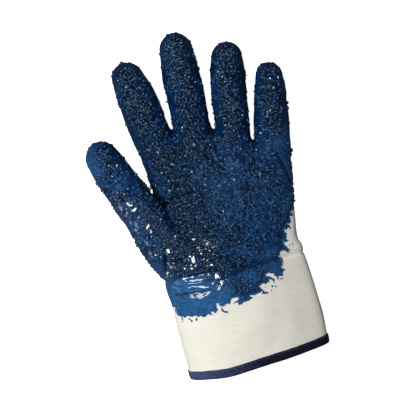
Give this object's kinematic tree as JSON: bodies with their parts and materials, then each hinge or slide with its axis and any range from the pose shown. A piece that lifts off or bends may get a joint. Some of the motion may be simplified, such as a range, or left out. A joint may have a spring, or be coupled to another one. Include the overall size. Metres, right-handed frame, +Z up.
{
  "type": "reusable work glove",
  "caption": "Left-hand work glove lying palm up: knitted liner, rough rubber coating dipped over palm and fingers, wide canvas safety cuff with a taped hem.",
  "frame": {"origin": "the middle of the glove's footprint, on the surface that it lies on", "axes": "+Z up out of the palm, +Y from the hem to the fingertips, +X to the little finger's side"},
  "size_m": [0.167, 0.2746, 0.0552],
  "materials": {
    "coating": "glossy dark blue nitrile rubber with crumbs under its skin",
    "liner": "unbleached cotton jersey",
    "cuff": "unbleached cotton canvas",
    "hem_tape": "navy ribbed binding tape"
  },
  "bodies": {
    "root": {"coating": "coating", "liner": "liner", "cuff": "cuff", "hem_tape": "hem_tape"}
  },
  "joints": []
}
